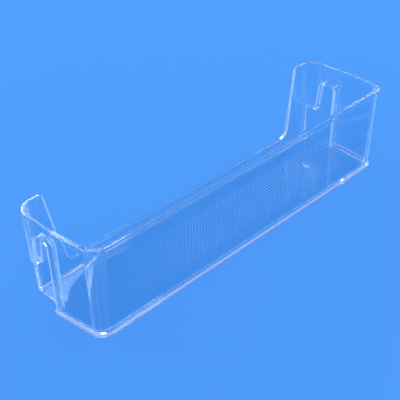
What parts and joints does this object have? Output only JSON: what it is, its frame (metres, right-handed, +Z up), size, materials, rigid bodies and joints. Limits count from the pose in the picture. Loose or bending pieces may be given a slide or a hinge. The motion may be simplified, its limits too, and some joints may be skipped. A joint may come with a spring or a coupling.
{
  "type": "fridge door shelf",
  "caption": "Clear one-piece fridge door shelf: a long tray with a high front, a low back between full-height returns, and a lug channel in each end.",
  "frame": {"origin": "middle of the underside, half way along the length and half way through the depth", "axes": "+X along the length, -Y towards the front that faces into the fridge, +Y towards the door, +Z up"},
  "size_m": [0.4424, 0.1104, 0.1025],
  "materials": {
    "clear_polystyrene": "clear, glossy"
  },
  "bodies": {
    "root": {"door_shelf": "clear_polystyrene"}
  },
  "joints": []
}
